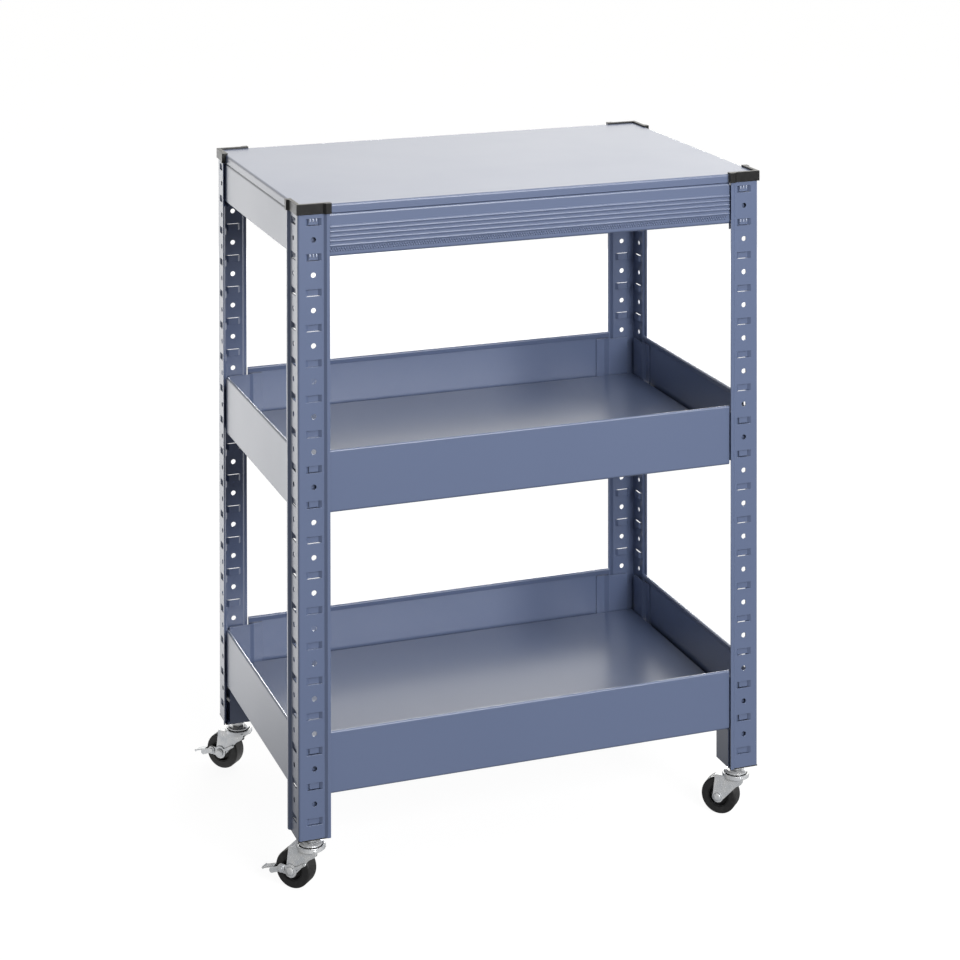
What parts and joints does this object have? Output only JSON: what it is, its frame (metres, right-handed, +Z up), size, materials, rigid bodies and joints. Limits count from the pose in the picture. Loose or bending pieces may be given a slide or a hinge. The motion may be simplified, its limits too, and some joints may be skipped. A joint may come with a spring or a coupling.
{
  "type": "tool cart",
  "caption": "Steel tool cart with a flat worktop and two deep trays hooked into perforated angle posts on swivel casters, two of them braked.",
  "frame": {"origin": "on the floor, under the middle of the four posts", "axes": "+X to the right along the long side, +Y to the rear, +Z up"},
  "size_m": [0.607, 0.402, 0.786],
  "materials": {
    "painted_post": "semi-gloss slate blue powder coat",
    "painted_panel": "semi-gloss slate blue powder coat",
    "cap_plastic": "satin black moulded plastic",
    "zinc_steel": "bright zinc plating",
    "ball_steel": "polished steel",
    "wheel_plastic": "satin black plastic",
    "tyre_rubber": "matt black rubber"
  },
  "bodies": {
    "frame": {"post_front_left": "painted_post", "post_front_right": "painted_post", "post_rear_left": "painted_post", "post_rear_right": "painted_post", "cap_front_left": "cap_plastic", "cap_front_right": "cap_plastic", "cap_rear_left": "cap_plastic", "cap_rear_right": "cap_plastic", "foot_front_left": "painted_post", "foot_front_right": "painted_post", "foot_rear_left": "painted_post", "foot_rear_right": "painted_post", "worktop": "painted_panel", "top_beam_front": "painted_panel", "top_beam_rear": "painted_panel", "top_beam_left": "painted_panel", "top_beam_right": "painted_panel", "middle_wall_front": "painted_panel", "middle_wall_rear": "painted_panel", "middle_wall_left": "painted_panel", "middle_wall_right": "painted_panel", "middle_floor": "painted_panel", "lower_wall_front": "painted_panel", "lower_wall_rear": "painted_panel", "lower_wall_left": "painted_panel", "lower_wall_right": "painted_panel", "lower_floor": "painted_panel", "stem_front_left": "zinc_steel", "stem_front_right": "zinc_steel", "stem_rear_left": "zinc_steel", "stem_rear_right": "zinc_steel", "stem_nuts": "zinc_steel", "foot_pads": "cap_plastic"},
    "caster_front_left": {"fork_front_left": "zinc_steel", "swivel_balls_front_left": "ball_steel", "axle_front_left": "zinc_steel", "brake_bracket_front_left": "zinc_steel", "brake_rivets_front_left": "zinc_steel"},
    "wheel_front_left": {"hub_front_left": "wheel_plastic", "tyre_front_left": "tyre_rubber"},
    "pedal_front_left": {"brake_pedal_front_left": "zinc_steel"},
    "caster_front_right": {"fork_front_right": "zinc_steel", "swivel_balls_front_right": "ball_steel", "axle_front_right": "zinc_steel"},
    "wheel_front_right": {"hub_front_right": "wheel_plastic", "tyre_front_right": "tyre_rubber"},
    "caster_rear_left": {"fork_rear_left": "zinc_steel", "swivel_balls_rear_left": "ball_steel", "axle_rear_left": "zinc_steel", "brake_bracket_rear_left": "zinc_steel", "brake_rivets_rear_left": "zinc_steel"},
    "wheel_rear_left": {"hub_rear_left": "wheel_plastic", "tyre_rear_left": "tyre_rubber"},
    "pedal_rear_left": {"brake_pedal_rear_left": "zinc_steel"},
    "caster_rear_right": {"fork_rear_right": "zinc_steel", "swivel_balls_rear_right": "ball_steel", "axle_rear_right": "zinc_steel"},
    "wheel_rear_right": {"hub_rear_right": "wheel_plastic", "tyre_rear_right": "tyre_rubber"}
  },
  "joints": [
    {"name": "swivel_front_left", "type": "hinge", "parent": "frame", "child": "caster_front_left", "pos_m": [-0.268, -0.1655, 0.0485], "axis": [0, 0, 1], "continuous": true},
    {"name": "wheel_spin_front_left", "type": "hinge", "parent": "caster_front_left", "child": "wheel_front_left", "pos_m": [-0.28143, -0.15207, 0.022], "axis": [-0.7071, -0.7071, 0], "continuous": true},
    {"name": "brake_front_left", "type": "hinge", "parent": "caster_front_left", "child": "pedal_front_left", "pos_m": [-0.28992, -0.14358, 0.023], "axis": [0.7071, 0.7071, 0], "range_deg": [0, 25]},
    {"name": "swivel_front_right", "type": "hinge", "parent": "frame", "child": "caster_front_right", "pos_m": [0.268, -0.1655, 0.0485], "axis": [0, 0, 1], "continuous": true},
    {"name": "wheel_spin_front_right", "type": "hinge", "parent": "caster_front_right", "child": "wheel_front_right", "pos_m": [0.25456, -0.15207, 0.022], "axis": [-0.7071, -0.7071, 0], "continuous": true},
    {"name": "swivel_rear_left", "type": "hinge", "parent": "frame", "child": "caster_rear_left", "pos_m": [-0.268, 0.1655, 0.0485], "axis": [0, 0, 1], "continuous": true},
    {"name": "wheel_spin_rear_left", "type": "hinge", "parent": "caster_rear_left", "child": "wheel_rear_left", "pos_m": [-0.28143, 0.17894, 0.022], "axis": [-0.7071, -0.7071, 0], "continuous": true},
    {"name": "brake_rear_left", "type": "hinge", "parent": "caster_rear_left", "child": "pedal_rear_left", "pos_m": [-0.28992, 0.18742, 0.023], "axis": [0.7071, 0.7071, 0], "range_deg": [0, 25]},
    {"name": "swivel_rear_right", "type": "hinge", "parent": "frame", "child": "caster_rear_right", "pos_m": [0.268, 0.1655, 0.0485], "axis": [0, 0, 1], "continuous": true},
    {"name": "wheel_spin_rear_right", "type": "hinge", "parent": "caster_rear_right", "child": "wheel_rear_right", "pos_m": [0.25456, 0.17894, 0.022], "axis": [-0.7071, -0.7071, 0], "continuous": true}
  ]
}
